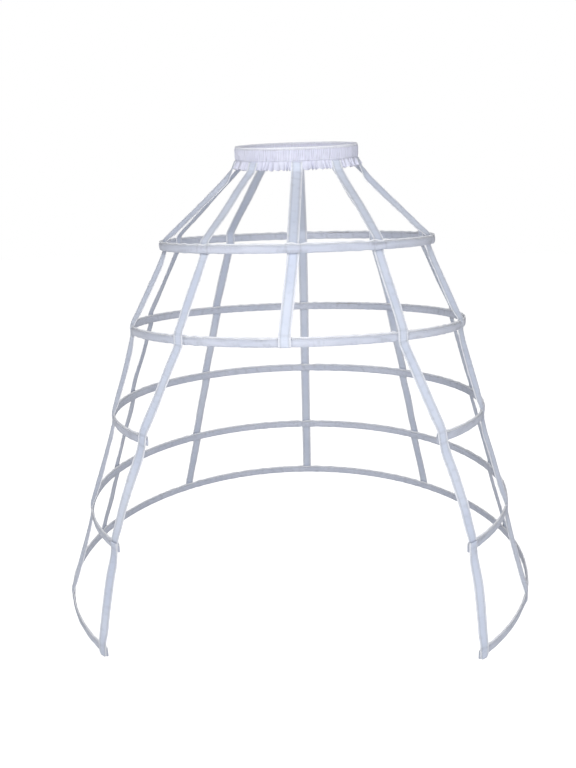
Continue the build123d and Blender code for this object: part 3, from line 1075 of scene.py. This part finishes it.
def stage_floor():
    """A wide pale disc under the cage, lit a little from within and brighter to the camera."""
    turns = np.arange(FLOOR_SIDES) * 2 * math.pi / FLOOR_SIDES
    radii = np.array(FLOOR_RADII)[:, None]
    flat = np.stack([radii * np.cos(turns), radii * np.sin(turns), 0 * radii * turns], axis=-1)
    points = flat.reshape(-1, 3) + [0, 0, cad_box[0].z - FLOOR_DROP]
    faces = ring_quads(len(radii), FLOOR_SIDES)
    floor = mesh_piece("floor", points, faces, body=None)
    material = bpy.data.materials.new("pale_floor")
    material.use_nodes = True
    n = Nodes(material.node_tree)
    shader = n.tree.nodes["Principled BSDF"]
    place = n.add("ShaderNodeTexCoord").outputs["Object"]
    cloud = n.add("ShaderNodeTexNoise", {"Vector": place, "Scale": 3.0})
    seen = n.add("ShaderNodeLightPath").outputs["Is Camera Ray"]
    for label, value in (
        ("Base Color", n.mix(cloud.outputs[0], *map(opaque, FLOOR_TINTS))),
        ("Roughness", 0.9),
        ("Specular IOR Level", 0.1),
        ("Emission Color", (1, 1, 1, 1)),
        ("Emission Strength", n.math("MULTIPLY_ADD", seen, 0.75, 0.25)),
    ):
        n.feed(shader.inputs[label], value)
    floor.data.materials.append(material)


def soft_light(name, place, aim_height, size, power):
    """Square softbox at a place, facing a point on the cage's axis at a height."""
    data = bpy.data.lights.new(name, "AREA")
    data.size = size
    data.energy = power
    light = bpy.data.objects.new(name, data)
    bpy.context.scene.collection.objects.link(light)
    back = unit(np.array(place, float) - np.array([0, 0, aim_height]))
    across = unit(np.cross([0, 0, 1.0], back))
    turn = Matrix([list(across), list(np.cross(back, across)), list(back)]).transposed()
    light.matrix_world = Matrix.Translation(place) @ turn.to_4x4()


SOFTBOXES = (  # name, place, height aimed at, size in metres, power in watts
    ("key_softbox", (-0.3, -1.5, 0.7), -0.3, 1.0, 18.5),
    ("fill_softbox", (1.3, -1.6, 0.1), -0.4, 1.4, 10),
    ("side_softbox_left", (-1.9, -0.7, -0.3), -0.4, 1.2, 5),
    ("side_softbox_right", (1.9, -0.7, -0.3), -0.4, 1.2, 5),
    ("rear_softbox", (0.5, 2.1, 0.9), -0.4, 1.5, 16),
    ("low_softbox", (-0.1, -1.7, -0.75), -0.62, 1.2, 9),
    ("top_softbox", (0.0, 0.2, 2.2), -0.4, 2.0, 3),
)

stage_floor()
for softbox in SOFTBOXES:
    soft_light(*softbox)

# the surroundings are white to the camera and dim to the cage
world = bpy.data.worlds.new("studio")
bpy.context.scene.world = world
world.use_nodes = True
w = Nodes(world.node_tree)
w.tree.nodes.clear()
seen = w.add("ShaderNodeLightPath").outputs["Is Camera Ray"]
bright = w.add("ShaderNodeBackground", {"Color": (1, 1, 1, 1), "Strength": 1.0})
dim = w.add("ShaderNodeBackground", {"Color": (0.94, 0.96, 1.0, 1), "Strength": 0.10})
both = w.add("ShaderNodeMixShader", {0: seen, 1: dim.outputs[0], 2: bright.outputs[0]})
w.tree.links.new(both.outputs[0], w.add("ShaderNodeOutputWorld").inputs[0])

CAMERA_PLACE = (0.0778, -1.5979, -0.0514)
CAMERA_YAW = -0.0606  # radians, towards -X
CAMERA_PITCH = 0.2340  # radians, downwards
CAMERA_ROLL = -0.0105
CAMERA_LENS = 39.99  # millimetres, behind a frame this wide
SENSOR_WIDTH = 36.0

camera_data = bpy.data.cameras.new("camera")
camera_data.sensor_width = SENSOR_WIDTH
camera_data.lens = CAMERA_LENS
camera = bpy.data.objects.new("camera", camera_data)
bpy.context.scene.collection.objects.link(camera)
ahead = np.array([math.sin(CAMERA_YAW), math.cos(CAMERA_YAW), 0.0])
right = np.array([math.cos(CAMERA_YAW), -math.sin(CAMERA_YAW), 0.0])
forward = ahead * math.cos(CAMERA_PITCH) - np.array([0, 0, math.sin(CAMERA_PITCH)])
above = ahead * math.sin(CAMERA_PITCH) + np.array([0, 0, math.cos(CAMERA_PITCH)])
roll_cos, roll_sin = math.cos(CAMERA_ROLL), math.sin(CAMERA_ROLL)
turned = Matrix(
    [
        list(right * roll_cos + above * roll_sin),
        list(above * roll_cos - right * roll_sin),
        list(-forward),
    ]
).transposed()
camera.matrix_world = Matrix.Translation(CAMERA_PLACE) @ turned.to_4x4()
bpy.context.scene.camera = camera
bpy.context.scene.view_settings.view_transform = "Standard"
